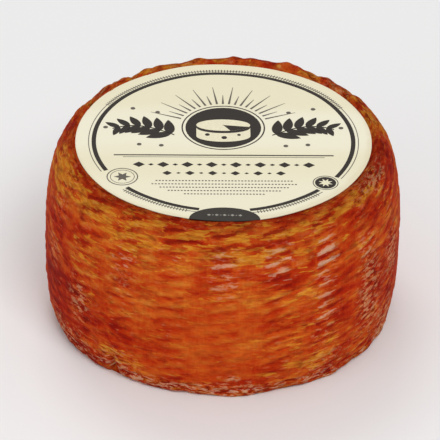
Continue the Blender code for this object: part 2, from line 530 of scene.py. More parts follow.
AMBER_MARKS = (
    (185, 10, 8, 12, 0.70),
    (153, 4, 5, 8, 0.80),
    (116, 3, 9, 8, 1.30),
    (97, 2, 9, 6, 1.30),
    (57, 3, 8, 8, 1.10),
    (136, 2, 8, 6, 0.85),
    (36, 2, 8, 5, 0.95),
    (16, 5, 9, 9, 1.15),
    (198, 8, 13, 5, 1.45),
    (222, 11, 8, 6, 1.25),
    (211, 7, 5, 4, 0.50),
    (230, 16, 4, 3, 0.90),
    (239, 8, 9, 4, 1.00),
    (236, 24, 5, 4, 0.50),
    (245, 16, 8, 3, 0.60),
    (258, 8, 7, 4, 1.30),
    (258, 14, 8, 2, 0.60),
    (276, 9, 7, 4, 1.30),
    (276, 15, 7, 2, 0.55),
    (262, 17, 18, 4, 0.40),
    (284, 17, 6, 3, 0.50),
    (293, 8, 9, 4, 1.10),
    (318, 6, 17, 3, 1.05),
    (308, 64, 5, 4, 0.35),
    (248, 63, 6, 5, 0.30),
    (284, 88, 6, 4, 0.60),
    (336, 10, 3, 3, 0.80),
    (236, 18, 10, 5, 0.70),
    (276, 18, 14, 5, 0.70),
    (296, 18, 8, 4, 0.60),
    (198, 16, 6, 5, 0.70),
    (338, 18, 10, 4, 0.60),
    (240, 2, 10, 3, 0.25),
    (267, 2, 10, 3, 0.35),
    (302, 2, 9, 3, 0.35),
    (218, 29, 8, 5, 0.75),
    (219, 38, 4, 3, 0.55),
    (252, 28, 9, 5, 0.45),
    (198, 42, 7, 5, 0.40),
    (271, 41, 13, 7, 0.30),
    (292, 43, 7, 7, 0.45),
    (293, 70, 5, 5, 0.60),
    (299, 84, 8, 6, 1.20),
    (234, 86, 9, 6, 0.95),
    (255, 95, 8, 3, 0.50),
    (340, 28, 7, 9, 0.25),
)
CRUMBLY_MARKS = (
    (217, 64, 6, 15, 1.00),
    (198, 50, 6, 10, 0.80),
    (205, 92, 16, 9, 1.00),
    (232, 90, 9, 8, 0.90),
    (236, 40, 5, 10, 0.50),
    (322, 38, 6, 12, 0.60),
    (323, 62, 7, 20, 1.10),
    (339, 50, 8, 18, 1.00),
    (336, 86, 12, 14, 0.90),
    (306, 88, 10, 10, 0.70),
    (303, 66, 6, 10, 0.60),
    (272, 96, 20, 6, 0.80),
    (273, 88, 3, 3, 0.90),
    (247, 97, 12, 5, 0.80),
    (334, 4, 14, 7, 0.95),
    (344, 94, 10, 8, 0.60),
    (200, 96, 8, 6, 0.60),
    (200, 22, 9, 8, 0.50),
    (106, 1, 8, 5, 0.60),
    (142, 1, 9, 5, 0.70),
    (40, 1, 12, 5, 0.80),
)
CALM_MARKS = (
    (266, 62, 24, 34, 0.55),
)

# How many marks of each kind are drawn for the back, and how far all of them wander up and down the side
BACK_MARKS = 9
MARK_SEED = 5
MARK_WANDER = 0.0018
MARK_WANDER_SIZE = 0.009


def with_back(marks, draw, strength):
    """The front's marks, with more at random round the back, which the photograph doesn't show."""
    more = []
    for i in range(BACK_MARKS):
        direction = 5.0 + 175.0 * (i + draw.uniform(0.1, 0.9)) / BACK_MARKS
        way = draw.uniform(18.0, 92.0)
        wide = draw.uniform(5.0, 12.0)
        high = draw.uniform(8.0, 22.0)
        more.append((direction, way, wide, high, strength * draw.uniform(0.5, 1.0)))
    return (*marks, *more)


def out_of_true(points):
    """Presses the turned wheel's points as the whole wheel is: oval, lobed, leaning, and inside its box."""
    x, y, z = points.T
    angle = np.arctan2(y, x)
    up = z / SHOULDER_HEIGHT
    rim = smooth((np.hypot(x, y) - DISH_RADIUS) / RIM_FADE)
    lobes = lobed(FOOT_OVAL, 2, angle) + lobed(TRILOBE, 3, angle) + up * lobed(TOP_OVAL, 2, angle)
    share = 1.0 + lobes * rim
    on_top = up > 0.5
    pressed = []
    for flat, lean, place, move in zip((x, y), LEAN, DISH_PLACE, MOVE):
        leaning = lean * (up - 0.5)
        pressed.append(flat * share + np.where(on_top, place + (leaning - place) * rim, leaning) + move)
    rise = (DISH_RISE * (1.0 - rim) + RIM_RISE * rim * smooth(2.0 * up - 1.0)) * x / DISH_RADIUS
    pressed.append(np.maximum(z + np.where(on_top, rise, 0.0), 0.0))
    for axis, values in enumerate(pressed):
        for way, limit in ((-1.0, -cad_box[0][axis]), (1.0, cad_box[1][axis])):
            if limit > 0.0:
                values = way * kept_under(way * values, limit)
        pressed[axis] = values
    return np.stack(pressed, axis=1)


def press_rind(wheel, whole):
    """Presses weave, knobs, crease and dents into the turned wheel, and then presses it out of true."""
    points = coordinates(wheel)
    normals = np.empty(3 * len(points))
    wheel.data.vertex_normals.foreach_get("vector", normals)
    normals = normals.reshape(-1, 3)
    run = values_of(wheel, "run")
    radius = np.hypot(points[:, 0], points[:, 1])
    angle = np.arctan2(points[:, 1], points[:, 0])
    left = whole - run
    inward = np.where(left < 0.0, radius / radius[np.argmin(np.abs(left))], 1.0)
    around = WHEEL_RADIUS * inward
    wrap = np.stack([around * np.cos(angle), around * np.sin(angle), np.minimum(run, whole)], axis=1)
    level_ring = wrap * (1.0, 1.0, 0.0)

    # The weave: columns of level bars, uneven in strength and height
    pair = (angle - STRONG_COLUMN) / math.tau * COLUMN_PAIRS
    nearest = np.round(pair)
    strong = smooth((STRONG_HALF - np.abs(pair - nearest)) / COLUMN_EDGE)
    in_strong = strong > 0.5
    in_column = np.abs(2.0 * strong - 1.0) ** COLUMN_ROUNDNESS
    place = np.where(in_strong, pair - nearest, pair + 0.5 - np.round(pair + 0.5))
    bars = (run + BAR_SLANT * 2.0 * place) / BAR_PITCH + BAR_WANDER * noise_at(wrap, WANDER_SIZE, seed=3.1)
    bars = np.where(in_strong, bars + 0.5, bars)
    level = (1.0 + np.cos(math.tau * bars)) / 2.0
    crest = level**0.8
    ridge = level**2.2
    draw = random.Random(MARK_SEED)
    table = np.array([[draw.uniform(0.0, 1.0) for _ in range(BARS_DOWN)] for _ in range(2 * COLUMN_PAIRS)])
    column = np.where(in_strong, 2 * nearest, 2 * np.round(pair + 0.5) - 1).astype(int) % (2 * COLUMN_PAIRS)
    chance = table[column, np.clip(np.round(bars).astype(int), 0, BARS_DOWN - 1)]
    arch = in_column * np.where(in_strong, 1.0, WEAK_BARS)
    strength = 0.35 + 0.9 * chance
    calm = 0.75 + 0.45 * noise_at(wrap, CALM_SIZE, seed=7.7)
    side = smooth(run / BAR_FADE) * smooth(left / BAR_FADE)
    weave = arch * (2.0 * crest * strength - 0.9) * calm * side

    # Fine level lines between the bars, ragged and broken, with pits
    lines = noise_at(wrap, LINE_SIZE, seed=1.3) + FINE_LINES * noise_at(wrap, FINE_LINE_SIZE, seed=9.2)
    pits = -smooth((noise_at(wrap, PIT_SIZE, seed=12.4) - PIT_START) / PIT_EDGE)

    # The crease above the foot's lip, where the rind is crumbly, and how rough the rim is
    crease_way = CREASE_WAY + CREASE_WANDER * noise_at(level_ring, CREASE_SIZE, seed=2.2)
    crease = np.exp(-(((left - crease_way) / CREASE_HALF) ** 2))
    crease *= smooth(0.60 + 1.1 * noise_at(level_ring, CREASE_SIZE, seed=6.0))
    uneven = run + MARK_WANDER * noise_at(wrap, MARK_WANDER_SIZE, seed=5.5)
    crumbly_marks = with_back(CRUMBLY_MARKS, random.Random(MARK_SEED + 2), 0.9)
    crumbly = np.clip(patches(crumbly_marks, angle, uneven), 0.0, 1.2)
    rim_rough = np.exp(-(((run - RIM_ROUGH_WAY) / RIM_ROUGH_REACH) ** 2))

    # How far all of it lifts each point: the large forms first, then the fine ones from the rim to the base
    lift = (heaped(rim_knobs(), angle) - RIM_SINK) * np.exp(-((run / KNOB_REACH) ** 2))
    lift += heaped(FOOT_SWELLS, angle) * np.exp(-((left / FOOT_REACH) ** 2))
    lift += heaped([FOOT_NOTCH], angle) * np.exp(-((left / NOTCH_REACH) ** 4))
    lift += DENT_DEPTH * noise_at(points, DENT_SIZE)
    lift += BAR_HEIGHT * weave
    fine = side * crumbly * CRUMB_HEIGHT * noise_at(wrap, CRUMB_SIZE, seed=14.6)
    fine += side * (LINE_HEIGHT * lines + PIT_DEPTH * pits)
    fine += LUMP_HEIGHT * noise_at(wrap, LUMP_SIZE, seed=4.4)
    fine -= CREASE_DEPTH * crease
    fine += smooth((crease_way - left) / LIP_EDGE) * LIP_HEIGHT * noise_at(wrap, LIP_SIZE, seed=3.4)
    fine += rim_rough * RIM_ROUGH_HEIGHT * noise_at(wrap, RIM_ROUGH_SIZE, seed=8.8)
    lift += smooth((run + FINE_START) / FINE_FADE) * (left > ON_EDGE) * fine
    on_side = (points[:, 2] > ON_EDGE) & (radius > DISH_RADIUS + ON_EDGE)
    set_coordinates(wheel, out_of_true(points + normals * (lift * on_side)[:, None]))

    # What the finish needs to know
    draw = random.Random(MARK_SEED + 1)
    # Painted shade along the label's edge, darkest at the rim's crest and fading down the side
    label_edge_shade = sum(share * np.exp(-((run / reach) ** 2)) for share, reach in LABEL_SHADES)
    shoulder = np.exp(-(((run - LEDGE_WAY) / LEDGE_REACH) ** 4))
    # The finish paints light on the bars' crests and shade in the troughs, the crease and the pits
    for name, values in (
        ("wrap", wrap),
        ("bars", np.clip(arch * ridge * strength * calm * side, 0.0, 1.5)),
        ("troughs", np.clip(arch * (1.0 - crest) ** 2 * calm * side, 0.0, 1.0)),
        ("each_bar", (2.0 * chance - 1.0) * ridge * in_column * side),
        ("smooth_bands", (1.0 - strong) * side),
        ("lively", 1.0 - patches(CALM_MARKS, angle, run)),
        ("crumbly", crumbly),
        ("lines", lines * side),
        ("hollows", crease - 0.20 * pits * side),
        ("bloom", patches(with_back(BLOOM_MARKS, draw, 0.8), angle, uneven)),
        ("crimson", patches(with_back(CRIMSON_MARKS, draw, 0.8), angle, uneven)),
        ("amber", patches(with_back(AMBER_MARKS, draw, 0.6), angle, uneven)),
        # The painted shade is stronger on the front than on the back
        ("label_edge_shade", label_edge_shade * (0.80 - 0.20 * np.sin(angle))),
        ("ledges", shoulder * in_column * (2.0 * level**0.7 - 1.0)),
        ("foot", smooth((FOOT_TOP - left) / FOOT_FADE) * smooth((left + BASE_FADE) / BASE_FADE)),
    ):
        keep_values(wheel, name, values)


def make_wheel(finish):
    wheel, whole = turned_wheel()
    press_rind(wheel, whole)
    wheel.data.materials.clear()
    wheel.data.materials.append(finish)
    pick(wheel)
    bpy.ops.object.shade_smooth()
    hand_over(wheel, "washed_rind", "cheese_wheel")
    return wheel


# The label


def paper_height(x, y):
    """How far the paper's top lies over its flat plane: it cockles towards its edge and ripples a little."""
    radius = np.hypot(x, y)
    angle = np.arctan2(y, x)
    cockle = sum(share * np.sin(waves * angle + start) for waves, start, share in COCKLES)
    edge = smooth((radius - COCKLE_START) / COCKLE_GROWTH)
    ripple = np.sin(x * RIPPLE_WAVES[0]) * np.cos(y * RIPPLE_WAVES[1] + RIPPLE_START)
    return PAPER_WAVE * (edge * cockle + RIPPLE * ripple)


def lay_on_dish(piece, lift):
    """Takes a piece made flat round the origin to the label's place, stretched and bent as the paper is."""
    points = coordinates(piece)
    along = points[:, 0] * math.cos(STRETCH_WAY) + points[:, 1] * math.sin(STRETCH_WAY)
    across = points[:, 1] * math.cos(STRETCH_WAY) - points[:, 0] * math.sin(STRETCH_WAY)
    along *= 1.0 + PAPER_STRETCH
    across *= 1.0 - PAPER_STRETCH
    points[:, 0] = along * math.cos(STRETCH_WAY) - across * math.sin(STRETCH_WAY)
    points[:, 1] = along * math.sin(STRETCH_WAY) + across * math.cos(STRETCH_WAY)
    points[:, 2] += paper_height(points[:, 0], points[:, 1]) + lift
    set_coordinates(piece, points)
    slope = Matrix.Rotation(-math.asin(DISH_RISE / DISH_RADIUS), 4, "Y")
    place = Matrix.Translation((DISH_PLACE[0] + MOVE[0], DISH_PLACE[1] + MOVE[1], LABEL_TOP))
    piece.data.transform(place @ slope)
    piece.data.update()


def face_up(piece):
    """Turns the faces of a flat shape up."""
    if piece.data.polygons[0].normal.z < 0.0:
        piece.data.flip_normals()


def thicken(piece, thickness, offset):
    apply_modifier(piece, "SOLIDIFY", thickness=thickness, offset=offset, use_even_offset=False)


def make_label(finish):
    deselect()
    bpy.ops.mesh.primitive_circle_add(vertices=LABEL_SPOKES, radius=LABEL_RADIUS, fill_type="NOTHING")
    label = bpy.context.object
    label.name = "label_sheet"
    edit(label)
    radius = LABEL_RADIUS
    for i in range(1, LABEL_RINGS + 1):
        smaller = LABEL_RADIUS * (1.0 - i / (LABEL_RINGS + 1))
        bpy.ops.mesh.extrude_region_move()
        ratio = smaller / radius
        bpy.ops.transform.resize(value=(ratio, ratio, 1.0))
        radius = smaller
    bpy.ops.mesh.edge_face_add()
    bpy.ops.mesh.poke()
    bpy.ops.mesh.select_all(action="SELECT")
    bpy.ops.mesh.normals_make_consistent(inside=False)
    object_mode()
    face_up(label)
    thicken(label, LABEL_THICKNESS, -1.0)
    lay_on_dish(label, 0.0)
    label.data.materials.append(finish)
    pick(label)
    bpy.ops.object.shade_smooth_by_angle(angle=LABEL_CORNER)
    hand_over(label, "label_paper", "paper_label")
    return label


def flat_grid(name, across, along, shape):
    """A flat grid of this many faces, with its points at shape(u, v), where u and v go from 0 to 1."""
    deselect()
    bpy.ops.mesh.primitive_grid_add(x_subdivisions=across, y_subdivisions=along, size=1.0)
    grid = bpy.context.object
    grid.name = name
    points = coordinates(grid)
    x, y = shape(points[:, 0] + 0.5, points[:, 1] + 0.5)
    set_coordinates(grid, np.stack([x, y, np.zeros_like(x)], axis=1))
    return grid


def band(radius, width, start, stop, steps=0):
    """A flat arc round the label's middle, from one direction to another in degrees."""
    steps = steps or round((stop - start) / BAND_STEP)

    def shape(u, v):
        angle = np.radians(start + (stop - start) * u)
        reach = radius + (v - 0.5) * width
        return reach * np.cos(angle), reach * np.sin(angle)

    return flat_grid("band", steps, 1, shape)


def ring(radius, width, steps):
    return band(radius, width, 0.0, 360.0, steps)


def rule(half, y, width):
    """A thin straight rule across the label, which reaches as far to the left as to the right."""
    steps = round(2.0 * half / RULE_STEP)
    return flat_grid("rule", steps, 1, lambda u, v: (-half + 2.0 * half * u, y + (v - 0.5) * width))


def leaf(length, width, bend):
    """One leaf from the origin along +X, pointed at both ends."""

    def shape(u, v):
        half = width * np.sin(math.pi * u**LEAF_FULLNESS) ** LEAF_FULLNESS
        return length * u, half * (v - 0.5) + bend * length * u * u

    return flat_grid("leaf", 8, 2, shape)


def lozenge(half_length, half_height):
    """A flat lozenge round the origin."""

    def shape(u, v):
        across = 2.0 * u - 1.0
        return half_length * across, half_height * (2.0 * v - 1.0) * (1.0 - np.abs(across))

    return flat_grid("lozenge", 4, 2, shape)


def disc(radius):
    """A flat disc of rings, which can bend with the paper."""
    deselect()
    bpy.ops.mesh.primitive_circle_add(vertices=DISC_SPOKES, radius=radius, fill_type="NOTHING")
    made = bpy.context.object
    edit(made)
    for ratio in DISC_RINGS:
        bpy.ops.mesh.extrude_region_move()
        bpy.ops.transform.resize(value=(ratio, ratio, 1.0))
    bpy.ops.mesh.edge_face_add()
    bpy.ops.mesh.select_all(action="SELECT")
    bpy.ops.mesh.normals_make_consistent(inside=False)
    object_mode()
    return made


def star(points, outer, inner):
    """A flat star round the origin."""
    deselect()
    bpy.ops.mesh.primitive_circle_add(vertices=2 * points, radius=outer, fill_type="TRIFAN")
    made = bpy.context.object
    spots = coordinates(made)
    for i in range(1, 2 * points, 2):
        spots[i] *= inner / outer
    set_coordinates(made, spots)
    return made


def put(piece, x, y, turn=0.0):
    """Turns a flat shape by so many degrees and moves it to its place on the label."""
    piece.data.transform(Matrix.Translation((x, y, 0.0)) @ Matrix.Rotation(math.radians(turn), 4, "Z"))
    return piece


def copy_of(piece, size=1.0):
    """Another of the same shape with its own mesh, at another size."""
    other = piece.copy()
    other.data = piece.data.copy()
    bpy.context.scene.collection.objects.link(other)
    other.data.transform(Matrix.Diagonal((size, size, 1.0, 1.0)))
    return other


def print_film(name, shapes, finish, layer=0):
    """Joins flat shapes to one thin film of ink on the paper. A higher layer lies on a lower one."""
    for shape in shapes:
        face_up(shape)
    deselect()
    for shape in shapes:
        shape.select_set(True)
    bpy.context.view_layer.objects.active = shapes[0]
    if len(shapes) > 1:
        bpy.ops.object.join()
    film = bpy.context.object
    film.name = name
    edit(film)
    bpy.ops.mesh.remove_doubles(threshold=SAME_INK_POINT)
    bpy.ops.mesh.dissolve_degenerate(threshold=SAME_INK_POINT)
    object_mode()
    thicken(film, INK_THICKNESS, 1.0)
    lay_on_dish(film, INK_CLEARANCE + layer * LAYER_STEP)
    film.data.materials.clear()
    film.data.materials.append(finish)
    hand_over(film, "label_paper")
    return film


# The label's rings, which stop at the two seals and at the tab
RING_RADIUS = 0.0647
RING_WIDTH = 0.0022
HAIRLINE_RADIUS = 0.0673
HAIRLINE_WIDTH = 0.0004
RING_ARCS = ((-31.3, 206.2), (222.6, 259.0), (281.0, 315.6))
HATCH_ARCS = ((28.0, 152.0), (224.0, 256.0), (284.0, 314.0))
HATCH_PITCH = 1.3
HATCH_RADIUS = HAIRLINE_RADIUS - 0.0001
HATCH_LENGTH = 0.0023
HATCH_HALF = 0.20

# The dark tab at the label's front edge, whose outer edge folds down over the label's, and its row of large
# and small lozenges, as (half length, half height)
TAB_HALF = 0.0172
TAB_RISE = 0.0100
TAB_EDGE = LABEL_RADIUS + 0.00004
TAB_STEPS = 32
TAB_ROWS = 7
TAB_ROW = -0.0688
TAB_MARKS = 4
TAB_MARK_PITCH = 0.0019
TAB_MARK_HALVES = ((0.0010, 0.0009), (0.0005, 0.0004))

# The two seals, each made of rings as (radius, width, steps) round a star as (points, outer, inner)
LEFT_SEAL = (-0.0500, -0.0342)
LEFT_RINGS = ((0.0075, 0.00055, 48), (0.0059, 0.00030, 40))
LEFT_STAR = (6, 0.0042, 0.0020)
RIGHT_SEAL = (0.0498, -0.0387)
RIGHT_DISC = 0.0052
RIGHT_RING = (0.0061, 0.00040, 40)
RIGHT_STAR = (8, 0.0037, 0.0017)


def make_rings(ink, fine_ink):
    rings = [band(RING_RADIUS, RING_WIDTH, *arc) for arc in RING_ARCS]
    print_film("ring_print", rings, ink)
    hairlines = [band(HAIRLINE_RADIUS, HAIRLINE_WIDTH, *arc) for arc in RING_ARCS]
    tick = band(HATCH_RADIUS, HATCH_LENGTH, -HATCH_HALF, HATCH_HALF, 1)
    for start, stop in HATCH_ARCS:
        for i in range(int((stop - start) / HATCH_PITCH)):
            hairlines.append(put(copy_of(tick), 0.0, 0.0, start + i * HATCH_PITCH))
    bpy.data.objects.remove(tick)
    print_film("hatched_ring_print", hairlines, fine_ink)


def make_tab(tab_ink, pale_ink):
    foot = -math.sqrt(TAB_EDGE**2 - TAB_HALF**2)

    def shape(u, v):
        x = TAB_HALF * np.sin((u - 0.5) * math.pi)
        low = -np.sqrt(TAB_EDGE**2 - x**2)
        high = foot + TAB_RISE * np.sqrt(np.maximum(1.0 - (x / TAB_HALF) ** 2, 0.0))
        return x, low + (high - low) * np.maximum(v * TAB_ROWS - 1.0, 0.0) / (TAB_ROWS - 1)

    tab = flat_grid("tab", TAB_STEPS, TAB_ROWS, shape)
    points = coordinates(tab)
    points[: TAB_STEPS + 1, 2] = -LABEL_THICKNESS - INK_CLEARANCE
    set_coordinates(tab, points)
    print_film("tab_print", [tab], tab_ink, layer=1)
    marks = []
    for i in range(-TAB_MARKS, TAB_MARKS + 1):
        marks.append(put(lozenge(*TAB_MARK_HALVES[i % 2]), i * TAB_MARK_PITCH, TAB_ROW))
    print_film("tab_ornament_print", marks, pale_ink, layer=2)


def make_seals(ink, fine_ink, paper_ink):
    left = [*(ring(*sizes) for sizes in LEFT_RINGS), star(*LEFT_STAR)]
    print_film("left_seal_print", [put(shape, *LEFT_SEAL) for shape in left], fine_ink)
    right = [disc(RIGHT_DISC), ring(*RIGHT_RING)]
    print_film("right_seal_print", [put(shape, *RIGHT_SEAL) for shape in right], ink)
    print_film("right_seal_star_print", [put(star(*RIGHT_STAR), *RIGHT_SEAL)], paper_ink, layer=1)


# The emblem in the middle: a cut cheese on a dark disc, with holes as (x, y, radius), and rays over it in two
# lengths
EMBLEM = (0.0, 0.0120)
EMBLEM_RADIUS = 0.0190
EMBLEM_RING = (0.0206, 0.0007, 96)
CHEESE_HALF = 0.0135
CHEESE_TILT = 0.0054
CHEESE_DEEP = 0.0080
CHEESE_TOP = 0.42 * CHEESE_TILT
TOP_HOLE = 0.04
CUT_START = -75.0
CUT_TURN = 58.0
HOLES = ((-0.0080, -0.0068, 0.0012), (0.0004, -0.0096, 0.0014), (0.0078, -0.0070, 0.0009))
RAYS = 19
FIRST_RAY = 22.0
RAY_TURN = 136.0
RAY_START = 0.0228
RAY_LENGTHS = (0.0165, 0.0085)
RAY_WIDTH = 0.0011
RAY_TAPER = 0.8

# The leafy branch on either side of the emblem, and the berries round it
BRANCH_START = 0.0245
BRANCH_REACH = 0.0310
BRANCH_LOW = 0.0050
BRANCH_BOW = 0.0085
BRANCH_TURN = 2.4
BRANCH_LEAVES = 6
STEM_WIDTH = 0.0009
LEAF_LENGTH = 0.0135
LEAF_WIDTH = 0.0056
LEAF_BEND = 0.10
LEAF_SPREAD = 44.0
LEAF_SHRINKAGE = 0.42
BERRY_RADIUS = 0.0012
BERRIES = ((0.0590, 0.0120), (0.0330, 0.0265), (0.0455, 0.0300), (0.0310, -0.0050), (0.0420, -0.0040))


def make_emblem(ink, fine_ink, paper_ink):
    def side(u, v):
        x = CHEESE_HALF * np.sin((u - 0.5) * math.pi)
        low = -CHEESE_TILT * np.sqrt(np.maximum(1.0 - (x / CHEESE_HALF) ** 2, 0.0))
        return x, low - CHEESE_DEEP * (1.0 - v)

    def on_top(angle, reach):
        return CHEESE_HALF * reach * np.cos(angle), CHEESE_TILT * reach * np.sin(angle) + CHEESE_TOP

    def top(u, v):
        return on_top(math.tau * u, TOP_HOLE + (1.0 - TOP_HOLE) * v)

    def wedge(u, v):
        return on_top(np.radians(CUT_START + CUT_TURN * u), v)

    dark = [put(disc(EMBLEM_RADIUS), *EMBLEM), put(ring(*EMBLEM_RING), *EMBLEM)]
    print_film("emblem_print", dark, ink)
    pale = [flat_grid("side", 28, 3, side), flat_grid("top", 48, 3, top)]
    print_film("emblem_cheese_print", [put(shape, *EMBLEM) for shape in pale], paper_ink, layer=1)
    cuts = [put(flat_grid("wedge", 8, 4, wedge), *EMBLEM)]
    for x, y, size in HOLES:
        cuts.append(put(disc(size), EMBLEM[0] + x, EMBLEM[1] + y))
    print_film("emblem_cut_print", cuts, ink, layer=2)
    rays = []
    for i in range(RAYS):
        long = RAY_LENGTHS[i % 2]

        def beam(u, v):
            return RAY_START + long * u, (v - 0.5) * RAY_WIDTH * (1.0 - RAY_TAPER * u)

        rays.append(put(flat_grid("ray", 6, 1, beam), *EMBLEM, FIRST_RAY + RAY_TURN * i / (RAYS - 1)))
    print_film("ray_print", rays, fine_ink)


def make_branches(ink, fine_ink):
    pattern = leaf(LEAF_LENGTH, LEAF_WIDTH, LEAF_BEND)

    def way(u):
        return BRANCH_START + BRANCH_REACH * u, BRANCH_LOW + BRANCH_BOW * np.sin(u * BRANCH_TURN)

    leaves = []
    for side in (-1, 1):
        def stem(u, v):
            x, y = way(u)
            return side * x, y + (v - 0.5) * STEM_WIDTH

        leaves.append(flat_grid("stem", 24, 1, stem))
        for i in range(BRANCH_LEAVES):
            u = (i + 0.3) / BRANCH_LEAVES
            x, y = way(u)
            rise = BRANCH_BOW * BRANCH_TURN * math.cos(u * BRANCH_TURN)
            lean = math.degrees(math.atan2(rise, BRANCH_REACH))
            for spread in (-1, 1):
                one = copy_of(pattern, 1.0 - LEAF_SHRINKAGE * u)
                if spread < 0:
                    one.data.transform(Matrix.Diagonal((1.0, -1.0, 1.0, 1.0)))
                put(one, 0.0, 0.0, lean + spread * LEAF_SPREAD)
                put(one, x, y)
                if side < 0:
                    one.data.transform(Matrix.Diagonal((-1.0, 1.0, 1.0, 1.0)))
                leaves.append(one)
    bpy.data.objects.remove(pattern)
    print_film("branch_print", leaves, ink)
    berries = [put(disc(BERRY_RADIUS), side * x, y) for side in (-1, 1) for x, y in BERRIES]
    print_film("berry_print", berries, fine_ink)


# The ornament under the emblem: two rules as (half length, y, width), two rows of lozenges as (y, count,
# pitch, size), and rows of fine dots as (y, half length)
RULES = ((0.0545, -0.0140, 0.0009), (0.0500, -0.0158, 0.0003))
LOZENGE_ROWS = ((-0.0228, 15, 0.0060, 1.0), (-0.0306, 11, 0.0056, 0.8))
LOZENGE_HALVES = ((0.0030, 0.0024), (0.0014, 0.0010))
DOT_ROWS = ((-0.0376, 0.034), (-0.0406, 0.036), (-0.0436, 0.032), (-0.0466, 0.028), (-0.0496, 0.020))
DOT_PITCH = 0.0016
DOT_LENGTH = 0.0009
DOT_HEIGHT = 0.0008


def make_rules(ink, fine_ink):
    shapes = [rule(*sizes) for sizes in RULES]
    for row, count, pitch, size in LOZENGE_ROWS:
        for i in range(count):
            half_length, half_height = LOZENGE_HALVES[i % 2]
            one = lozenge(half_length * size, half_height * size)
            shapes.append(put(one, (i - (count - 1) / 2) * pitch, row))
    print_film("rule_print", shapes, ink)
    dots = []
    dot = flat_grid("dot", 1, 1, lambda u, v: ((u - 0.5) * DOT_LENGTH, (v - 0.5) * DOT_HEIGHT))
    for row, half in DOT_ROWS:
        count = int(2 * half / DOT_PITCH)
        for i in range(count):
            dots.append(put(copy_of(dot), -half + 2 * half * (i + 0.5) / count, row))
    bpy.data.objects.remove(dot)
    print_film("fine_print", dots, fine_ink)


# Finishes


class Value:
    """What a node puts out. Sums, differences and products of values are Math nodes."""

    def __init__(self, net, socket):
        self.net = net
        self.socket = socket

    def __add__(self, other):
        return self.net.sums("ADD", self, other)

    def __sub__(self, other):
        return self.net.sums("SUBTRACT", self, other)

    def __mul__(self, other):
        return self.net.sums("MULTIPLY", self, other)

    def centred(self, gain):
        """A noise taken about nought and made this much stronger."""
        return self.net.sums("MULTIPLY_ADD", self, gain, -0.5 * gain)

    def step(self, low, high, reach=1.0):
        """0 below low, reach above high, and an S-curve between."""
        inputs = {"Value": self, "From Min": low, "From Max": high, "To Min": 0.0, "To Max": reach}
        node = self.net.add("MapRange", inputs, interpolation_type="SMOOTHSTEP")
        return Value(self.net, node.outputs["Result"])


class Net:
    """The nodes of one finish or group, with the kinds that the finishes are made of."""

    def __init__(self, tree):
        self.nodes = tree.nodes
        self.links = tree.links

    def feed(self, socket, value):
        """Gives a socket what another node puts out, or a number, a vector or a colour of its own."""
        value = value.socket if isinstance(value, Value) else value
        if isinstance(value, bpy.types.NodeSocket):
            self.links.new(value, socket)
        else:
            socket.default_value = (*value, 1.0) if socket.type == "RGBA" else value

    def add(self, kind, inputs, **settings):
        """Adds a node with these settings. inputs holds what each of its sockets gets, by name or number."""
        node = self.nodes.new("ShaderNode" + kind)
        for name, setting in settings.items():
            setattr(node, name, setting)
        for place, value in inputs.items():
            self.feed(node.inputs[place], value)
        return node

    def sums(self, operation, *values, clamp=False):
        """A Math node of these numbers and values."""
        node = self.add("Math", dict(enumerate(values)), operation=operation, use_clamp=clamp)
        return Value(self, node.outputs[0])

    def mix(self, factor, below, above):
        """Lays one colour over another by a factor."""
        return Value(self, self.add("Mix", {0: factor, 6: below, 7: above}, data_type="RGBA").outputs[2])

    def shaded(self, colour, shade):
        """The colour, or a vector, times a value."""
        node = self.add("VectorMath", {0: colour, "Scale": shade}, operation="SCALE")
        return Value(self, node.outputs["Vector"])

    def grained(self, vector, size, detail, roughness=0.55, distortion=0.0, shift=0.0):
        """Noise with features of this size in metres along the vector's three axes."""
        scale = [1.0 / s for s in size]
        mapping = self.add("Mapping", {"Vector": vector, "Scale": scale, "Location": (shift, shift, shift)})
        inputs = {"Vector": mapping.outputs["Vector"], "Scale": 1.0, "Detail": detail}
        inputs.update({"Roughness": roughness, "Distortion": distortion})
        return Value(self, self.add("TexNoise", inputs).outputs["Fac"])

    def attribute(self, name, output="Fac"):
        return Value(self, self.add("Attribute", {}, attribute_name=name).outputs[output])

    def grain(self, group, place, size, amount):
        """Places the fine grain's group, and gives its height and its shade."""
        node = self.add("Group", {"Vector": place, "Size": size, "Amount": amount}, node_tree=group)
        return Value(self, node.outputs["Height"]), Value(self, node.outputs["Shade"])

    def bump(self, shader, height, strength, distance):
        node = self.add("Bump", {"Strength": strength, "Distance": distance, "Height": height})
        self.feed(shader.inputs["Normal"], node.outputs["Normal"])


def new_finish(name, roughness, specular):
    made = bpy.data.materials.new(name)
    made.use_nodes = True
    shader = made.node_tree.nodes["Principled BSDF"]
    shader.inputs["Roughness"].default_value = roughness
    shader.inputs["Specular IOR Level"].default_value = specular
    return made, Net(made.node_tree), shader


def fine_grain_group():
    """Fine grain, as a height and a shade: pores in the rind, fibres in the paper, paper through the ink."""
    group = bpy.data.node_groups.new("fine_grain", "ShaderNodeTree")
    for name, way, kind in (
        ("Vector", "INPUT", "NodeSocketVector"),
        ("Size", "INPUT", "NodeSocketFloat"),
        ("Amount", "INPUT", "NodeSocketFloat"),
        ("Height", "OUTPUT", "NodeSocketFloat"),
        ("Shade", "OUTPUT", "NodeSocketFloat"),
    ):
        group.interface.new_socket(name, in_out=way, socket_type=kind)
    net = Net(group)
    given = group.nodes.new("NodeGroupInput").outputs
    result = group.nodes.new("NodeGroupOutput").inputs
    scaled = net.shaded(given["Vector"], net.sums("DIVIDE", 1.0, given["Size"]))
    height = Value(net, net.add("TexNoise", {"Vector": scaled, "Scale": 1.0, "Detail": 3.0}).outputs["Fac"])
    net.feed(result["Height"], height)
    net.feed(result["Shade"], (height - 0.5) * given["Amount"] + 1.0)
    return group


